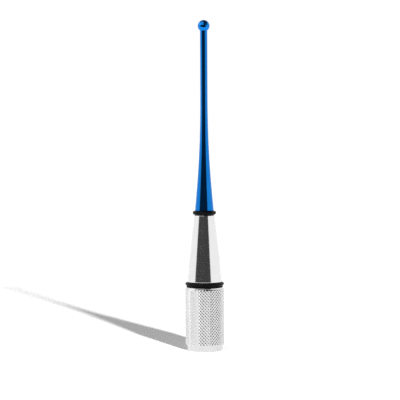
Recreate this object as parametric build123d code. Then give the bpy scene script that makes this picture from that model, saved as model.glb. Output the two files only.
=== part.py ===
from build123d import *

import os
from math import sqrt

# Screw-together aerial mast: a blue tapered stem on a polished cone on a knurled grip.
# Every piece is turned on one axis, +Z. The origin is the centre of the foot's lower face.
# Threads are plain cylinders at their pitch diameter, with a small running clearance.

# ---- heights above the foot's lower face, mm ----
GRIP_TOP = 33.3          # top face of the knurled grip
CONE_FOOT = 34.0         # lower end of the cone's neck, on the joint washer
CONE_RIM = 35.9          # lower rim of the cone's taper
CONE_TOP = 71.4          # flat top face of the cone
STEM_RIM = 73.7          # lower rim of the blue stem, over its ring groove
STEM_SHOULDER = 168.2    # where the stem ends under the ball
BALL_CENTRE = 170.7

# ---- knurled grip ----
GRIP_D = 20.5            # over the crests of the knurl
GRIP_BAND_D = 19.64      # plain band above the knurl
GRIP_BAND_H = 0.7
FOOT_D = 19.0
FOOT_H = 2.6
FOOT_CHAMFER = 0.4
KNURL_CHAMFER = 0.4
FOOT_RECESS_D = 13.0
FOOT_RECESS_H = 2.0
GRIP_DRILL_D = 5.6       # through drilling between the two threads

# ---- cone ----
CONE_RIM_D = 19.6
CONE_TOP_D = 10.9
CONE_NECK_D = 16.7
CONE_CHAMFER = 0.45
CONE_TOP_CHAMFER = 0.3

# ---- stem and ball ----
STEM_RIM_D = 10.0
STEM_RIM_CHAMFER = 0.15
STEM_NECK_D = 8.2
STEM_TOP_D = 3.85
FLARE_TOP = 135.0        # above this the stem is a plain rod
FLARE_LOW = (3.36, 92.8)     # radius and height on the flare
FLARE_HIGH = (2.38, 110.2)
FLARE_START_SLOPE = -0.093   # change of radius per mm of height at the rim
BALL_D = 6.3
SPIGOT_D = 2.4
SPIGOT_H = 3.0
SPIGOT_GAP = 0.02
FLAT_FIT = 0.05          # how closely the ball's flat matches the stem's top

# ---- rubber rings and washers ----
LOWER_RING_D = 20.5
LOWER_RING_SECTION = 1.8
UPPER_RING_D = 12.5
UPPER_RING_SECTION = 2.1
WASHER_D = 19.2
WASHER_HOLE_D = 8.6
SEAL_D = 12.9
SEAL_HOLE_D = 6.5
SEAL_H = 1.6

# ---- threads: pitch diameter, then where each stud lies ----
THREAD_GAP = 0.05        # radial running clearance of a stud in its hole
STEM_THREAD_D = 4.48     # M5 x 0.8
STEM_STUD_LOW = 63.0
STEM_STUD_HIGH = 80.5
GRIP_THREAD_D = 7.19     # M8 x 1.25
GRIP_STUD_LOW = 22.3
GRIP_STUD_HIGH = 46.5
HOLE_END_GAP = 0.5       # spare depth past a stud's end
OVERCUT = 1.0            # how far a cutting rod runs past the face it opens
STUD_CHAMFER = 0.5

# ---- threaded bush for the vehicle's stud ----
BUSH_D = 9.0
BUSH_GAP = 0.03
BUSH_H = 13.0
BUSH_BORE_D = 4.2        # M5 x 0.8 tapping size
BUSH_SLOT_W = 1.2
BUSH_SLOT_H = 1.2


def turned(*outline):
    """A solid of revolution about Z from edges drawn in the XZ plane, x being the radius."""
    profile = make_face(Wire(list(outline)))
    return revolve(profile, Axis.Z)


def turned_points(points):
    """A solid of revolution with straight-sided outline points (radius, height)."""
    return turned(*Polyline(*[(r, 0, z) for r, z in points], close=True).edges())


def rod(diameter, low, high):
    """A plain cylinder on the axis between two heights."""
    return turned_points([(0, low), (diameter / 2, low), (diameter / 2, high), (0, high)])


def chamfered_rod(diameter, low, high, chamfer):
    """A stud: a cylinder with both ends chamfered."""
    r = diameter / 2
    c = chamfer
    points = [(0, low), (r - c, low), (r, low + c), (r, high - c), (r - c, high), (0, high)]
    return turned_points(points)


def ring(outer_d, section, height):
    """An O-ring of round section, centred at a height."""
    middle = (outer_d - section) / 2
    circle = Plane.XZ * Location((middle, height)) * Circle(section / 2)
    return revolve(circle, Axis.Z)


def washer(outer_d, hole_d, low, high):
    """A flat washer between two heights."""
    ro = outer_d / 2
    ri = hole_d / 2
    return turned_points([(ri, low), (ro, low), (ro, high), (ri, high)])


def knurled_grip():
    """The grip: plain foot, knurled barrel, plain band, and a bore that runs right through."""
    foot_r = FOOT_D / 2
    grip_r = GRIP_D / 2
    band_r = GRIP_BAND_D / 2
    band_low = GRIP_TOP - GRIP_BAND_H
    points = [
        (0, 0),
        (foot_r - FOOT_CHAMFER, 0),
        (foot_r, FOOT_CHAMFER),
        (foot_r, FOOT_H),
        (grip_r - KNURL_CHAMFER, FOOT_H),
        (grip_r, FOOT_H + KNURL_CHAMFER),
        (grip_r, band_low - KNURL_CHAMFER),
        (grip_r - KNURL_CHAMFER, band_low),
        (band_r, band_low),
        (band_r, GRIP_TOP),
        (0, GRIP_TOP),
    ]
    body = turned_points(points)
    bush_top = FOOT_RECESS_H + BUSH_H
    body -= rod(FOOT_RECESS_D, -OVERCUT, FOOT_RECESS_H)
    body -= rod(BUSH_D + 2 * BUSH_GAP, 0, bush_top + BUSH_GAP)
    body -= rod(GRIP_DRILL_D, 0, GRIP_TOP)
    body -= rod(GRIP_THREAD_D + 2 * THREAD_GAP, GRIP_STUD_LOW - HOLE_END_GAP, GRIP_TOP + OVERCUT)
    return body


def thread_bush():
    """The brass bush that takes the vehicle's stud, slotted across its lower end."""
    low = FOOT_RECESS_H
    body = washer(BUSH_D, BUSH_BORE_D, low, low + BUSH_H)
    slot = Location((0, 0, low + BUSH_SLOT_H / 2)) * Box(2 * BUSH_D, BUSH_SLOT_W, BUSH_SLOT_H)
    return body - slot


def foot_seal():
    """The flat rubber seal in the foot's recess, just clear of the foot's lower face."""
    return washer(SEAL_D, SEAL_HOLE_D, FOOT_RECESS_H - SEAL_H, FOOT_RECESS_H)


def cone():
    """The polished cone, with a ring neck below and a blind threaded hole at each end."""
    rim_r = CONE_RIM_D / 2
    top_r = CONE_TOP_D / 2
    neck_r = CONE_NECK_D / 2
    points = [
        (0, CONE_FOOT),
        (neck_r, CONE_FOOT),
        (neck_r, CONE_RIM),
        (rim_r - CONE_CHAMFER, CONE_RIM),
        (rim_r, CONE_RIM + CONE_CHAMFER),
        (top_r, CONE_TOP - CONE_TOP_CHAMFER),
        (top_r - CONE_TOP_CHAMFER, CONE_TOP),
        (0, CONE_TOP),
    ]
    body = turned_points(points)
    lower_end = GRIP_STUD_HIGH + HOLE_END_GAP
    upper_end = STEM_STUD_LOW - HOLE_END_GAP
    lower_hole = rod(GRIP_THREAD_D + 2 * THREAD_GAP, CONE_FOOT - OVERCUT, lower_end)
    upper_hole = rod(STEM_THREAD_D + 2 * THREAD_GAP, upper_end, CONE_TOP + OVERCUT)
    return body - lower_hole - upper_hole


def stem():
    """The blue mast: ring neck, flared foot, slim rod and a spigot for the ball."""
    neck_r = STEM_NECK_D / 2
    rim_r = STEM_RIM_D / 2
    top_r = STEM_TOP_D / 2
    spigot_r = SPIGOT_D / 2
    rim_low = (rim_r - STEM_RIM_CHAMFER, STEM_RIM)
    rim_high = (rim_r, STEM_RIM + STEM_RIM_CHAMFER)
    flare_points = [rim_high, FLARE_LOW, FLARE_HIGH, (top_r, FLARE_TOP)]
    flare = Spline(
        *[(r, 0, z) for r, z in flare_points],
        tangents=[(FLARE_START_SLOPE, 0, 1), (0, 0, 1)],
    )
    below = Polyline(
        (0, 0, CONE_TOP),
        (neck_r, 0, CONE_TOP),
        (neck_r, 0, STEM_RIM),
        (rim_low[0], 0, rim_low[1]),
        (rim_high[0], 0, rim_high[1]),
    )
    above = Polyline(
        (top_r, 0, FLARE_TOP),
        (top_r, 0, STEM_SHOULDER),
        (spigot_r, 0, STEM_SHOULDER),
        (spigot_r, 0, STEM_SHOULDER + SPIGOT_H),
        (0, 0, STEM_SHOULDER + SPIGOT_H),
        (0, 0, CONE_TOP),
    )
    body = turned(*below.edges(), *flare.edges(), *above.edges())
    hole_end = STEM_STUD_HIGH + HOLE_END_GAP
    return body - rod(STEM_THREAD_D + 2 * THREAD_GAP, CONE_TOP - OVERCUT, hole_end)


def tip_ball():
    """The ball, faced flat where it meets the stem and bored for the stem's spigot."""
    radius = BALL_D / 2
    body = Location((0, 0, BALL_CENTRE)) * Sphere(radius)
    body -= rod(BALL_D, BALL_CENTRE - radius - OVERCUT, STEM_SHOULDER)
    bore_end = STEM_SHOULDER + SPIGOT_H + SPIGOT_GAP
    body -= rod(SPIGOT_D + 2 * SPIGOT_GAP, STEM_SHOULDER - OVERCUT, bore_end)
    return body


def flat_radius_matches_stem():
    """The ball's flat is as wide as the stem's top, so the two meet with no ledge."""
    drop = BALL_CENTRE - STEM_SHOULDER
    flat_r = sqrt((BALL_D / 2) ** 2 - drop**2)
    return abs(flat_r - STEM_TOP_D / 2) < FLAT_FIT


def all_pieces():
    """Every node's name and solid."""
    lower_ring_z = (CONE_FOOT + CONE_RIM) / 2
    upper_ring_z = (CONE_TOP + STEM_RIM) / 2
    return {
        "knurled_grip": knurled_grip(),
        "thread_bush": thread_bush(),
        "foot_seal": foot_seal(),
        "joint_washer": washer(WASHER_D, WASHER_HOLE_D, GRIP_TOP, CONE_FOOT),
        "lower_o_ring": ring(LOWER_RING_D, LOWER_RING_SECTION, lower_ring_z),
        "cone": cone(),
        "grip_stud": chamfered_rod(GRIP_THREAD_D, GRIP_STUD_LOW, GRIP_STUD_HIGH, STUD_CHAMFER),
        "upper_o_ring": ring(UPPER_RING_D, UPPER_RING_SECTION, upper_ring_z),
        "stem": stem(),
        "stem_stud": chamfered_rod(STEM_THREAD_D, STEM_STUD_LOW, STEM_STUD_HIGH, STUD_CHAMFER),
        "tip_ball": tip_ball(),
    }


assert flat_radius_matches_stem()
os.makedirs("parts", exist_ok=True)
for name, solid in all_pieces().items():
    export_step(solid, f"parts/{name}.step")
    print(name, round(solid.volume, 1), "mm3")
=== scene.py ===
"""The looks of the screw-together aerial mast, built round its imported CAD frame."""

import math

import bmesh
import bpy
from mathutils import Matrix, Vector


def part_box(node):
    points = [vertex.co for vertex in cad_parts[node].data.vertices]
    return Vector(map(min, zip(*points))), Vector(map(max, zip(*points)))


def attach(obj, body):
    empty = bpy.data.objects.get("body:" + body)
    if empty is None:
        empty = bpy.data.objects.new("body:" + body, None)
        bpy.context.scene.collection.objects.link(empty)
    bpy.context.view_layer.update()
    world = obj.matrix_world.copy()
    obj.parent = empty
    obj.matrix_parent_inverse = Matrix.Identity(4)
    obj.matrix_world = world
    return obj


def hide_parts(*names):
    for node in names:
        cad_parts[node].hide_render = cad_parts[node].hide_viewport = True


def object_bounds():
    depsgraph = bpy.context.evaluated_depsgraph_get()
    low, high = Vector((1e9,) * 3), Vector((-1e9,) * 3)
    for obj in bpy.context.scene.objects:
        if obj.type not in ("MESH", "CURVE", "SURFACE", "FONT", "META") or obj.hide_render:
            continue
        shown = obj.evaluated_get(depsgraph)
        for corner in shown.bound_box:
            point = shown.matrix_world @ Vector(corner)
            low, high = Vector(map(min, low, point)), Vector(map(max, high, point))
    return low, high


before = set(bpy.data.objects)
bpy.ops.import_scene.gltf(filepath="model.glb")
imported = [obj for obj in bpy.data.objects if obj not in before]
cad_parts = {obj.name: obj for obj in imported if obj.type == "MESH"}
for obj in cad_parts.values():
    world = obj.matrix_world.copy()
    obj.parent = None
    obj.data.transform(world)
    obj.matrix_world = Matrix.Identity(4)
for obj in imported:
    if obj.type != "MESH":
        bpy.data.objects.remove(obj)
cad_low, cad_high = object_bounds()

MM = 0.001
TURN = 2 * math.pi

# ---- sizes that the frame's boxes don't give, mm ----
AROUND = 192              # facets round a turned piece
SUPPORT = 0.12            # how near an edge's rounding the next ring of points lies

FOOT_R = 9.5
FOOT_H = 2.6
BAND_R = 9.82
BAND_H = 0.7
RECESS_R = 6.5
DRILL_R = 2.8
SLOT_W = 1.2
SLOT_H = 1.2
SEAL_HOLE_R = 3.25
WASHER_HOLE_R = 4.3
WASHER_EDGE = 0.15
CONE_NECK_R = 8.35
CONE_RIM_Z = 35.9
CONE_TOP_R = 5.45
CONE_CHAMFER = 0.45
CONE_TOP_CHAMFER = 0.3
STEM_NECK_R = 4.1
STEM_RIM_Z = 73.7
STEM_TOP_R = 1.925
STEM_SHOULDER_Z = 168.2
SPIGOT_R = 1.2
SPIGOT_GAP = 0.02
STEM_RIM_CHAMFER = 0.15
FLASH_HEIGHT = 0.03       # the mould's parting line round an O-ring
FLASH_WIDTH = 0.10        # as a share of the ring's section
# the stem's flare: radius, height, change of radius per mm of height
FLARE = [(5.0, 73.85, -0.093), (3.36, 92.8, -0.072), (2.38, 110.2, -0.042), (1.925, 135.0, 0.0)]

KNURL_COUNT = 38          # grooves each way round the grip
KNURL_PITCH_Z = 1.77      # height of one diamond
KNURL_DEPTH = 0.20
KNURL_CHAMFER = 0.4
GROOVE_FLAT = 0.02        # half width of a groove's floor, as a share of the pitch
GROOVE_EDGE = 0.396       # half width of a groove's mouth, as a share of the pitch

M5 = {"major": 2.5, "minor": 2.067, "pitch": 0.8}
M8 = {"major": 4.0, "minor": 3.324, "pitch": 1.25}
THREAD_GAP = 0.05
# one pitch of thread: place along the pitch, then 0 at the root and 1 at the crest
THREAD_FORM = [(0.0, 0.0), (0.25, 0.0), (0.4375, 1.0), (0.6875, 1.0)]
HOLE_END_GAP = 0.5        # spare thread past a stud's end
STUD_END_DROP = 0.1       # a stud's end face is this much smaller than its root
STUD_CENTRE_DEPTH = 0.25
MOUTH_STEP = 0.25         # how much wider than the thread a hole's countersink is
M8_DRILL_POINT = 1.0
M5_DRILL_POINT = 0.8


def box_mm(node):
    """A CAD node's outer radius, lowest and highest point, in mm."""
    low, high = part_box(node)
    return high[0] / MM, low[2] / MM, high[2] / MM


# ---------------------------------------------------------------- mesh building

class Shape:
    """Points and faces collected in mm, then made into one Blender mesh in metres."""

    def __init__(self):
        self.points = []
        self.faces = []

    def add(self, points, faces):
        start = len(self.points)
        self.points += points
        self.faces += [[start + i for i in face] for face in faces]

    def build(self, name, material, sharp_deg=30.0):
        mesh = bpy.data.meshes.new(name)
        mesh.from_pydata([Vector(p) * MM for p in self.points], [], self.faces)
        work = bmesh.new()
        work.from_mesh(mesh)
        bmesh.ops.remove_doubles(work, verts=work.verts, dist=0.0005 * MM)
        bmesh.ops.dissolve_degenerate(work, edges=work.edges, dist=0.0002 * MM)
        bmesh.ops.recalc_face_normals(work, faces=work.faces)
        work.to_mesh(mesh)
        work.free()
        mesh.shade_smooth()
        mesh.set_sharp_from_angle(angle=math.radians(sharp_deg))
        mesh.materials.append(material)
        piece = bpy.data.objects.new(name, mesh)
        bpy.context.scene.collection.objects.link(piece)
        return piece


def rounded(corners, steps=5):
    """An outline (radius, height) through corners (radius, height, size of the rounding).

    Each rounding is a curve tangent to both sides, and a support point each side of it
    keeps the shading of the long faces flat.
    """
    outline = []
    last = len(corners) - 1
    for i, (r, z, size) in enumerate(corners):
        here = Vector((r, z))
        if i in (0, last) or size == 0:
            outline.append(tuple(here))
            continue
        before = Vector(corners[i - 1][:2]) - here
        after = Vector(corners[i + 1][:2]) - here
        start = here + before.normalized() * size
        end = here + after.normalized() * size
        if before.length > 2 * size + 3 * SUPPORT:
            outline.append(tuple(start + before.normalized() * SUPPORT))
        for k in range(steps + 1):
            t = k / steps
            outline.append(tuple(start * (1 - t) ** 2 + here * 2 * t * (1 - t) + end * t * t))
        if after.length > 2 * size + 3 * SUPPORT:
            outline.append(tuple(end + after.normalized() * SUPPORT))
    return outline


def turned(outline, closed=False):
    """Points and faces of an outline (radius, height) turned about the Z axis."""
    points = []
    for i in range(AROUND):
        a = TURN * i / AROUND
        points += [(r * math.cos(a), r * math.sin(a), z) for r, z in outline]
    count = len(outline)
    faces = []
    for i in range(AROUND):
        here = i * count
        there = (i + 1) % AROUND * count
        for j in range(count if closed else count - 1):
            k = (j + 1) % count
            faces.append([here + j, there + j, there + k, here + k])
    return points, faces


def turned_piece(name, material, outline, closed=False, sharp_deg=30.0):
    """A whole piece made by turning one outline."""
    shape = Shape()
    shape.add(*turned(outline, closed))
    return shape.build(name, material, sharp_deg)


def flare_outline(steps=14):
    """The stem's flare as a smooth curve through FLARE, from the rim upwards."""
    outline = []
    for (r0, z0, s0), (r1, z1, s1) in zip(FLARE, FLARE[1:]):
        height = z1 - z0
        for k in range(steps):
            t = k / steps
            r = (2 * t**3 - 3 * t**2 + 1) * r0 + (t**3 - 2 * t**2 + t) * height * s0
            r += (3 * t**2 - 2 * t**3) * r1 + (t**3 - t**2) * height * s1
            outline.append((r, z0 + t * height))
    outline.append(FLARE[-1][:2])
    return outline


def cut_flat(shape, low, high):
    """Trims a shape to the heights between low and high."""
    work = bmesh.new()
    verts = [work.verts.new(p) for p in shape.points]
    for face in shape.faces:
        work.faces.new([verts[i] for i in face])
    for z, keep in ((low, 1), (high, -1)):
        everything = work.verts[:] + work.edges[:] + work.faces[:]
        bmesh.ops.bisect_plane(
            work, geom=everything, dist=1e-6, plane_co=(0, 0, z), plane_no=(0, 0, keep), clear_inner=True
        )
    work.verts.index_update()
    shape.points = [tuple(v.co) for v in work.verts]
    shape.faces = [[v.index for v in f.verts] for f in work.faces]
    work.free()


def thread(size, low, high, gap=0.0, end_drop=None, around=72):
    """A right-hand screw surface between two heights; gap widens it for a hole.

    end_drop(r, z) changes a radius near the ends: smaller on a stud, larger in a hole.
    """
    minor = size["minor"] + gap
    depth = size["major"] - size["minor"]
    pitch = size["pitch"]
    per_turn = len(THREAD_FORM)
    first = math.floor(low / pitch) - 2
    turns = math.ceil((high - low) / pitch) + 3
    points = []
    for i in range(around):
        share = i / around
        for j in range(turns * per_turn):
            along, out = THREAD_FORM[j % per_turn]
            z = (first + j // per_turn + along + share) * pitch
            r = minor + depth * out
            if end_drop:
                r = end_drop(r, z)
            points.append((r * math.cos(TURN * share), r * math.sin(TURN * share), z))
    rows = turns * per_turn
    faces = []
    for i in range(around):
        step = per_turn if i == around - 1 else 0
        here = i * rows
        there = (i + 1) % around * rows + step
        for j in range(rows - 1 - step):
            faces.append([here + j, there + j, there + j + 1, here + j + 1])
    shape = Shape()
    shape.add(points, faces)
    cut_flat(shape, low, high)
    return shape.points, shape.faces


def stud(name, material, size, low, high):
    """A double-ended stud: a screw surface with chamfered ends, each face with a shallow centre."""
    end_r = size["minor"] - STUD_END_DROP

    def drop(r, z):
        return min(r, end_r + max(min(z - low, high - z), 0.0))

    shape = Shape()
    shape.add(*thread(size, low, high, end_drop=drop))
    for z in (low, high):
        hollow = z + (STUD_CENTRE_DEPTH if z == low else -STUD_CENTRE_DEPTH)
        shape.add(*turned([(end_r, z), (end_r * 0.62, z), (end_r * 0.5, hollow), (0, hollow)]))
    return shape.build(name, material)


def knurl(radius, low, high):
    """A diamond knurl: two sets of V grooves crossing round a barrel, with chamfered ends."""
    shares = [GROOVE_FLAT, GROOVE_EDGE, 1 - GROOVE_EDGE, 1 - GROOVE_FLAT]
    sunk = [1.0, 0.0, 0.0, 1.0]
    per = len(shares)
    around = per * KNURL_COUNT

    def place(a, b):
        u = a // per + shares[a % per]
        v = b // per + shares[b % per]
        z = low + (u - v) / 2 * KNURL_PITCH_Z
        angle = (u + v) / 2 * TURN / KNURL_COUNT
        r = radius - KNURL_DEPTH * max(sunk[a % per], sunk[b % per])
        edge = min(z - low, high - z)
        r = min(r, radius - KNURL_CHAMFER + max(edge, 0.0))
        return (r * math.cos(angle), r * math.sin(angle), z)

    rows = math.ceil((high - low) / KNURL_PITCH_Z * 2) + 4
    index = {}
    points = []

    def corner(a, b):
        if a >= around:
            a, b = a - around, b - around
        if (a, b) not in index:
            index[a, b] = len(points)
            points.append(place(a, b))
        return index[a, b]

    faces = []
    for a in range(around):
        for b in range(a - per * (rows - 2), a + per * 2):
            quad = [corner(a, b), corner(a + 1, b), corner(a + 1, b + 1), corner(a, b + 1)]
            slopes = (a % per) % 2 == 0 and (b % per) % 2 == 0
            if not slopes:
                faces.append(quad)
            elif a % per == b % per:
                faces += [[quad[0], quad[1], quad[2]], [quad[0], quad[2], quad[3]]]
            else:
                faces += [[quad[0], quad[1], quad[3]], [quad[1], quad[2], quad[3]]]
    shape = Shape()
    shape.add(points, faces)
    cut_flat(shape, low, high)
    return shape.points, shape.faces


# ---------------------------------------------------------------- materials

class Nodes:
    """A new material's node tree, with short calls for the nodes used here."""

    def __init__(self, name):
        self.material = bpy.data.materials.new(name)
        self.material.use_nodes = True
        self.tree = self.material.node_tree
        self.shader = self.tree.nodes["Principled BSDF"]

    def node(self, kind, **settings):
        made = self.tree.nodes.new(kind)
        for key, value in settings.items():
            setattr(made, key, value)
        return made

    def link(self, source, target):
        self.tree.links.new(source, target)

    def math(self, operation, a, b=None):
        made = self.node("ShaderNodeMath", operation=operation)
        for socket, value in zip(made.inputs, (a, b)):
            if value is None:
                continue
            if isinstance(value, (int, float)):
                socket.default_value = value
            else:
                self.link(value, socket)
        return made.outputs[0]

    def place(self):
        """The point on the piece, in metres in the object's own frame."""
        return self.node("ShaderNodeTexCoord").outputs["Object"]

    def round_and_height(self):
        """Distance from the turning axis and height, the plane that lathe marks lie in."""
        split = self.node("ShaderNodeSeparateXYZ")
        self.link(self.place(), split.inputs[0])
        squares = [self.math("MULTIPLY", split.outputs[i], split.outputs[i]) for i in (0, 1)]
        radius = self.math("SQRT", self.math("ADD", *squares))
        join = self.node("ShaderNodeCombineXYZ")
        self.link(radius, join.inputs[0])
        self.link(split.outputs[2], join.inputs[2])
        return join.outputs[0]

    def noise(self, vector, size_mm, detail=2.0):
        made = self.node("ShaderNodeTexNoise")
        made.inputs["Scale"].default_value = 1 / (size_mm * MM)
        made.inputs["Detail"].default_value = detail
        self.link(vector, made.inputs["Vector"])
        return made.outputs["Fac"]

    def spread(self, value, low, high):
        """Maps a noise value, mostly 0.3 to 0.7, to a range."""
        made = self.node("ShaderNodeMapRange")
        for name, number in (("From Min", 0.3), ("From Max", 0.7), ("To Min", low), ("To Max", high)):
            made.inputs[name].default_value = number
        self.link(value, made.inputs["Value"])
        return made.outputs[0]

    def blend(self, share, colour_a, colour_b):
        made = self.node("ShaderNodeMix", data_type="RGBA")
        made.inputs["A"].default_value = (*colour_a, 1)
        made.inputs["B"].default_value = (*colour_b, 1)
        self.link(share, made.inputs["Factor"])
        return made.outputs["Result"]

    def bump(self, height, depth_mm):
        made = self.node("ShaderNodeBump")
        made.inputs["Distance"].default_value = depth_mm * MM
        made.inputs["Strength"].default_value = 1.0
        self.link(height, made.inputs["Height"])
        self.link(made.outputs[0], self.shader.inputs["Normal"])

    def set(self, **values):
        for key, value in values.items():
            self.shader.inputs[key.replace("_", " ")].default_value = value


def turned_metal(name, colours, roughness, marks_mm, marks_depth, smudge_mm=7.0):
    """Bare or dyed metal from a lathe: fine rings round the axis and a faintly uneven polish."""
    n = Nodes(name)
    rings = n.noise(n.round_and_height(), marks_mm, 3.0)
    smudges = n.noise(n.place(), smudge_mm, 3.0)
    n.set(Metallic=1.0)
    n.link(n.blend(n.spread(smudges, 0, 1), *colours), n.shader.inputs["Base Color"])
    uneven = n.math("ADD", n.spread(smudges, *roughness), n.spread(rings, -0.015, 0.015))
    n.link(uneven, n.shader.inputs["Roughness"])
    n.bump(rings, marks_depth)
    return n


def blue_anodised():
    """Polished aluminium dyed blue, under a thin clear oxide."""
    colours = ((0.006, 0.200, 0.660), (0.009, 0.225, 0.710))
    n = turned_metal("blue_anodised", colours, (0.06, 0.10), 0.30, 0.0006)
    n.set(Coat_Weight=0.04, Coat_Roughness=0.05, Coat_IOR=1.6)
    return n.material


def polished_aluminium():
    """The cone's bright mirror polish."""
    colours = ((0.90, 0.90, 0.905), (0.94, 0.94, 0.945))
    return turned_metal("polished_aluminium", colours, (0.08, 0.13), 0.35, 0.0008).material


def knurled_aluminium():
    """Bright aluminium with the satin of rolled and turned faces."""
    colours = ((0.68, 0.68, 0.685), (0.73, 0.73, 0.735))
    return turned_metal("knurled_aluminium", colours, (0.10, 0.16), 0.20, 0.0016).material


def bright_steel():
    """The studs' cut threads."""
    colours = ((0.50, 0.50, 0.51), (0.60, 0.60, 0.61))
    return turned_metal("bright_steel", colours, (0.22, 0.34), 0.25, 0.0020).material


def turned_brass():
    """The bush for the vehicle's stud."""
    colours = ((0.72, 0.52, 0.22), (0.83, 0.63, 0.30))
    return turned_metal("turned_brass", colours, (0.20, 0.32), 0.25, 0.0020).material


def black_rubber(name, roughness, grain_mm, grain_depth):
    """Moulded black rubber with a fine grain and traces of dust."""
    n = Nodes(name)
    dust = n.noise(n.place(), 1.6, 4.0)
    grain = n.noise(n.place(), grain_mm, 2.0)
    colour = n.blend(n.spread(dust, 0, 1), (0.0012, 0.0012, 0.0016), (0.003, 0.003, 0.0035))
    n.link(colour, n.shader.inputs["Base Color"])
    n.link(n.spread(dust, *roughness), n.shader.inputs["Roughness"])
    n.set(Specular_IOR_Level=0.07)
    n.bump(grain, grain_depth)
    return n.material


# ---------------------------------------------------------------- pieces

def finish_piece(piece, node, body):
    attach(piece, body)
    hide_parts(node)


def hole_mouth(size, face_z, up):
    """In a threaded hole, the countersink that opens towards its face."""
    mouth_r = size["major"] + MOUTH_STEP

    def widen(r, z):
        inside = (face_z - z) * up
        return max(r, mouth_r - max(inside, 0.0))

    return mouth_r, widen


def make_grip(material):
    """The knurled grip: foot, knurl, band, recess, drilling and the threaded hole on top."""
    radius, low, top = box_mm("knurled_grip")
    bush_r, bush_low, bush_top = box_mm("thread_bush")
    stud_low = box_mm("grip_stud")[1]
    band_low = top - BAND_H
    edge_r = radius - KNURL_CHAMFER
    thread_low = stud_low - HOLE_END_GAP
    mouth_r, widen = hole_mouth(M8, top, 1)
    shape = Shape()
    shape.add(*knurl(radius, FOOT_H, band_low))
    below = [
        (edge_r, FOOT_H, 0),
        (FOOT_R, FOOT_H, 0.08),
        (FOOT_R, low, 0.40),
        (RECESS_R, low, 0.15),
        (RECESS_R, bush_low, 0.05),
        (bush_r, bush_low, 0.03),
        (bush_r, bush_top, 0.03),
        (DRILL_R, bush_top, 0.05),
        (DRILL_R, thread_low, 0.05),
        (M8["minor"] + THREAD_GAP, thread_low, 0),
    ]
    above = [
        (edge_r, band_low, 0),
        (BAND_R, band_low, 0.03),
        (BAND_R, top, 0.20),
        (mouth_r, top, 0),
    ]
    shape.add(*turned(rounded(below)))
    shape.add(*turned(rounded(above)))
    shape.add(*thread(M8, thread_low, top, THREAD_GAP, widen))
    piece = shape.build("knurled_grip_shell", material, 22.0)
    finish_piece(piece, "knurled_grip", "grip")


def make_bush(material):
    """The slotted brass bush, with an M5 thread right through."""
    radius, low, top = box_mm("thread_bush")
    mouth_r, widen = hole_mouth(M5, top, 1)
    shape = Shape()
    outline = [
        (M5["minor"], low, 0),
        (radius, low, 0.25),
        (radius, top, 0.25),
        (mouth_r, top, 0),
    ]
    shape.add(*turned(rounded(outline)))
    shape.add(*thread(M5, low, top, end_drop=widen))
    bush = shape.build("slotted_bush", material)
    cutter_mesh = bpy.data.meshes.new("slot_cutter")
    work = bmesh.new()
    size = Matrix.Diagonal((4 * radius * MM, SLOT_W * MM, 2 * SLOT_H * MM, 1))
    bmesh.ops.create_cube(work, size=1.0, matrix=Matrix.Translation((0, 0, low * MM)) @ size)
    work.to_mesh(cutter_mesh)
    work.free()
    cutter = bpy.data.objects.new("slot_cutter", cutter_mesh)
    bpy.context.scene.collection.objects.link(cutter)
    cut = bush.modifiers.new("slot", "BOOLEAN")
    cut.operation = "DIFFERENCE"
    cut.solver = "EXACT"
    cut.object = cutter
    bake_modifiers(bush)
    bpy.data.objects.remove(cutter)
    finish_piece(bush, "thread_bush", "grip")


def bake_modifiers(piece):
    """Replaces a piece's mesh by the result of its modifiers."""
    evaluated = piece.evaluated_get(bpy.context.evaluated_depsgraph_get())
    mesh = bpy.data.meshes.new_from_object(evaluated)
    piece.modifiers.clear()
    piece.data = mesh
    mesh.set_sharp_from_angle(angle=math.radians(30))


def make_washer(name, node, body, material, hole_r):
    """A flat rubber washer with slightly rounded edges."""
    radius, low, top = box_mm(node)
    corners = [(hole_r, low), (radius, low), (radius, top), (hole_r, top)]
    middle = ((hole_r + radius) / 2, low, 0)
    edges = [(r, z, WASHER_EDGE) for r, z in corners[1:] + corners[:1]]
    outline = rounded([middle, *edges, middle])[:-1]
    piece = turned_piece(name, material, outline, closed=True)
    finish_piece(piece, node, body)


def make_o_ring(name, node, body, material):
    """An O-ring: a round section, faintly flattened, with the mould's parting line round it."""
    radius, low, top = box_mm(node)
    section_r = (top - low) / 2
    middle_r = radius - section_r
    middle_z = (top + low) / 2
    steps = 48
    outline = []
    for k in range(steps):
        a = TURN * k / steps
        line = FLASH_HEIGHT * math.exp(-((math.sin(a) / FLASH_WIDTH) ** 2))
        r = section_r - FLASH_HEIGHT + line
        outline.append((middle_r + r * math.cos(a), middle_z + section_r * math.sin(a)))
    piece = turned_piece(name, material, outline, closed=True, sharp_deg=60)
    finish_piece(piece, node, body)


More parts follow.
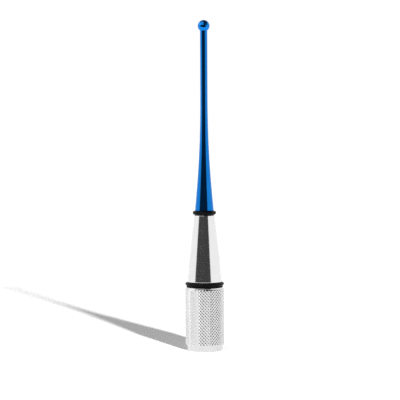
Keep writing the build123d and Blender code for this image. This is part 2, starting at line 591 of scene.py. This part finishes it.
def make_cone(material):
    """The polished cone: ring neck and threaded hole below, small threaded hole on top."""
    radius, low, top = box_mm("cone")
    grip_stud_top = box_mm("grip_stud")[2]
    stem_stud_low = box_mm("stem_stud")[1]
    lower_end = grip_stud_top + HOLE_END_GAP
    upper_end = stem_stud_low - HOLE_END_GAP
    lower_mouth, widen_lower = hole_mouth(M8, low, -1)
    upper_mouth, widen_upper = hole_mouth(M5, top, 1)
    shape = Shape()
    outside = [
        (lower_mouth, low, 0),
        (CONE_NECK_R, low, 0.15),
        (CONE_NECK_R, CONE_RIM_Z, 0.10),
        (radius - CONE_CHAMFER, CONE_RIM_Z, 0.08),
        (radius, CONE_RIM_Z + CONE_CHAMFER, 0.12),
        (CONE_TOP_R, top - CONE_TOP_CHAMFER, 0.10),
        (CONE_TOP_R - CONE_TOP_CHAMFER, top, 0.08),
        (upper_mouth, top, 0),
    ]
    shape.add(*turned(rounded(outside)))
    shape.add(*thread(M8, low, lower_end, THREAD_GAP, widen_lower))
    shape.add(*turned([(M8["minor"], lower_end), (0, lower_end + M8_DRILL_POINT)]))
    shape.add(*thread(M5, upper_end, top, THREAD_GAP, widen_upper))
    shape.add(*turned([(M5["minor"], upper_end), (0, upper_end - M5_DRILL_POINT)]))
    piece = shape.build("polished_cone", material)
    finish_piece(piece, "cone", "cone")


def make_stem(material):
    """The blue mast: neck, flared foot and slim rod, with the spigot that the ball sits on."""
    low, top = box_mm("stem")[1:]
    hole_top = box_mm("stem_stud")[2] + HOLE_END_GAP
    mouth_r, widen = hole_mouth(M5, low, -1)
    rim_r, rim_z = FLARE[0][:2]
    foot = rounded([
        (mouth_r, low, 0),
        (STEM_NECK_R, low, 0.10),
        (STEM_NECK_R, STEM_RIM_Z, 0.08),
        (rim_r - STEM_RIM_CHAMFER, STEM_RIM_Z, 0.03),
        (rim_r, rim_z, 0),
    ])
    head = rounded([
        FLARE[-1],
        (STEM_TOP_R, STEM_SHOULDER_Z, 0.04),
        (SPIGOT_R, STEM_SHOULDER_Z, 0.04),
        (SPIGOT_R, top, 0.10),
        (0, top, 0),
    ])
    shape = Shape()
    shape.add(*turned(foot[:-1] + flare_outline() + head[1:]))
    shape.add(*thread(M5, low, hole_top, THREAD_GAP, widen))
    shape.add(*turned([(M5["minor"], hole_top), (0, hole_top + M5_DRILL_POINT)]))
    piece = shape.build("blue_stem", material)
    finish_piece(piece, "stem", "mast")


def make_ball(material):
    """The ball, with the flat and the bore that sit on the stem."""
    radius, low, top = box_mm("tip_ball")
    centre = top - radius
    bore_r = SPIGOT_R + SPIGOT_GAP
    bore_top = box_mm("stem")[2] + SPIGOT_GAP
    start = math.asin((low - centre) / radius)
    steps = 60
    outline = [(0, bore_top), (bore_r, bore_top), (bore_r, low)]
    for k in range(steps + 1):
        a = start + (math.pi / 2 - start) * k / steps
        outline.append((radius * math.cos(a), centre + radius * math.sin(a)))
    piece = turned_piece("blue_ball", material, outline, sharp_deg=30)
    finish_piece(piece, "tip_ball", "mast")


def make_studs(material):
    for name, node, body, size in (
        ("m8_stud", "grip_stud", "cone", M8),
        ("m5_stud", "stem_stud", "mast", M5),
    ):
        low, top = box_mm(node)[1:]
        finish_piece(stud(name, material, size, low, top), node, body)


def make_pieces():
    """Every visible piece, each riding on its CAD body."""
    blue = blue_anodised()
    steel = bright_steel()
    ring = black_rubber("ring_rubber", (0.24, 0.34), 0.5, 0.004)
    sheet = black_rubber("seal_rubber", (0.42, 0.55), 0.35, 0.010)
    make_grip(knurled_aluminium())
    make_bush(turned_brass())
    make_washer("foot_seal_ring", "foot_seal", "grip", sheet, SEAL_HOLE_R)
    make_washer("joint_washer_ring", "joint_washer", "grip", sheet, WASHER_HOLE_R)
    make_o_ring("lower_ring", "lower_o_ring", "lower_ring", ring)
    make_cone(polished_aluminium())
    make_studs(steel)
    make_o_ring("upper_ring", "upper_o_ring", "upper_ring", ring)
    make_stem(blue)
    make_ball(blue)


# ---------------------------------------------------------------- studio

CAMERA_DISTANCE = 0.790
CAMERA_HEIGHT = 0.115
CAMERA_ASIDE = -0.00228
CAMERA_PITCH = 2.59       # degrees below level
CAMERA_ROLL = 0.24        # degrees
LENS = 134.9
SUN_AZIMUTH = 24.0        # degrees to the right of the camera, seen from the object
SUN_HEIGHT = 25.5         # degrees
SUN_ANGLE = 2.6           # degrees across, which sets the softness of the shadow
SUN_ENERGY = 7.3
FLOOR_FRONT = -0.30       # the floor ends out of the picture, towards the camera
FLOOR_REACH = 30.0
FLOOR_DROP = 0.00002      # keeps the floor just clear of the foot
WALL_LIGHT = 0.86
DARK_LIGHT = 0.050        # what the dark gap and the ceiling still give
BOX_LIGHT = 0.95
SIDE_LIGHT = 0.30
# degrees right of the camera or up, then how soft the edge is
GAP_LEFT = (-62.0, 5.0)
GAP_RIGHT = (40.0, 3.0)
WALL_TOP = (38.0, 6.0)
# left, right, low and high edges of a patch, in degrees, then how soft they are
SOFT_BOX = (-120.0, -2.0, 17.0, 78.0, 5.0)
SIDE_BOX = (60.0, 84.0, 40.0, 55.0, 8.0)
DARK_RIGHT = (30.0, 84.0, 18.0, 90.0, 6.0)


def make_camera():
    data = bpy.data.cameras.new("camera")
    data.lens = LENS
    data.sensor_width = 36.0
    data.clip_start = 0.01
    camera = bpy.data.objects.new("camera", data)
    camera.location = (CAMERA_ASIDE, -CAMERA_DISTANCE, CAMERA_HEIGHT)
    level = Matrix.Rotation(math.radians(90 - CAMERA_PITCH), 4, "X")
    roll = Matrix.Rotation(math.radians(-CAMERA_ROLL), 4, "Z")
    camera.matrix_world = Matrix.Translation(camera.location) @ level @ roll
    bpy.context.scene.collection.objects.link(camera)
    bpy.context.scene.camera = camera


def make_floor():
    """A plain pale floor."""
    n = Nodes("floor")
    n.set(Base_Color=(0.74, 0.74, 0.74, 1), Roughness=1.0, Specular_IOR_Level=0.0)
    mesh = bpy.data.meshes.new("floor")
    half = FLOOR_REACH
    corners = [(-half, FLOOR_FRONT, 0), (half, FLOOR_FRONT, 0), (half, half, 0), (-half, half, 0)]
    mesh.from_pydata(corners, [], [(0, 1, 2, 3)])
    mesh.materials.append(n.material)
    floor = bpy.data.objects.new("floor", mesh)
    floor.location.z = cad_low.z - FLOOR_DROP
    bpy.context.scene.collection.objects.link(floor)


def make_sun():
    data = bpy.data.lights.new("key", "SUN")
    data.angle = math.radians(SUN_ANGLE)
    data.energy = SUN_ENERGY
    sun = bpy.data.objects.new("key", data)
    a, e = math.radians(SUN_AZIMUTH), math.radians(SUN_HEIGHT)
    towards = Vector((math.sin(a) * math.cos(e), -math.cos(a) * math.cos(e), math.sin(e)))
    sun.rotation_mode = "QUATERNION"
    sun.rotation_quaternion = towards.to_track_quat("Z", "Y")
    sun.visible_glossy = False
    bpy.context.scene.collection.objects.link(sun)


def make_world():
    """White walls with a dark gap on the camera side, a dark ceiling and a soft box up on the left."""
    world = bpy.data.worlds.new("studio")
    bpy.context.scene.world = world
    world.use_nodes = True
    tree = world.node_tree
    tree.nodes.clear()

    def node(kind, **settings):
        made = tree.nodes.new(kind)
        for key, value in settings.items():
            setattr(made, key, value)
        return made

    def calc(operation, *values, clamp=False):
        made = node("ShaderNodeMath", operation=operation, use_clamp=clamp)
        for socket, value in zip(made.inputs, values):
            if isinstance(value, (int, float)):
                socket.default_value = value
            else:
                tree.links.new(value, socket)
        return made.outputs[0]

    def step(value, edge, softness):
        """0 below the edge and 1 above it, over a soft width."""
        return calc("MULTIPLY_ADD", calc("SUBTRACT", value, edge), 1 / softness, 0.5, clamp=True)

    direction = node("ShaderNodeTexCoord").outputs["Generated"]
    split = node("ShaderNodeSeparateXYZ")
    tree.links.new(direction, split.inputs[0])
    x, y, z = split.outputs
    degrees = 180 / math.pi
    aside = calc("MULTIPLY", calc("ARCTAN2", x, calc("MULTIPLY", y, -1.0)), degrees)
    height = calc("MULTIPLY", calc("ARCSINE", z), degrees)

    def patch(left, right, low, high, softness):
        """1 inside a patch of the surroundings and 0 outside it."""
        across = calc("SUBTRACT", step(aside, left, softness), step(aside, right, softness))
        upwards = calc("SUBTRACT", step(height, low, softness), step(height, high, softness))
        return calc("MULTIPLY", across, upwards)

    gap = calc("SUBTRACT", step(aside, *GAP_LEFT), step(aside, *GAP_RIGHT))
    below_top = calc("SUBTRACT", 1.0, step(height, *WALL_TOP))
    low_right = calc("SUBTRACT", 1.0, patch(*DARK_RIGHT))
    wall = calc("MULTIPLY", calc("MULTIPLY", below_top, low_right), calc("SUBTRACT", 1.0, gap))
    light = calc("MULTIPLY_ADD", wall, WALL_LIGHT, DARK_LIGHT)
    soft_box = patch(*SOFT_BOX)
    side_box = patch(*SIDE_BOX)
    light = calc("MULTIPLY_ADD", soft_box, BOX_LIGHT, light)
    light = calc("MULTIPLY_ADD", side_box, SIDE_LIGHT, light)
    paths = node("ShaderNodeLightPath")
    seen = calc("MAXIMUM", light, paths.outputs["Is Camera Ray"])
    background = node("ShaderNodeBackground")
    background.inputs["Color"].default_value = (1, 1, 1, 1)
    tree.links.new(seen, background.inputs["Strength"])
    out = node("ShaderNodeOutputWorld")
    tree.links.new(background.outputs[0], out.inputs["Surface"])
    world.cycles.sampling_method = "MANUAL"
    world.cycles.sample_map_resolution = 512


make_camera()
make_floor()
make_sun()
make_world()
make_pieces()
bpy.context.scene.view_settings.view_transform = "Standard"
# the denoiser takes the fine knurl for noise and wipes it out
bpy.context.scene.cycles.use_denoising = False
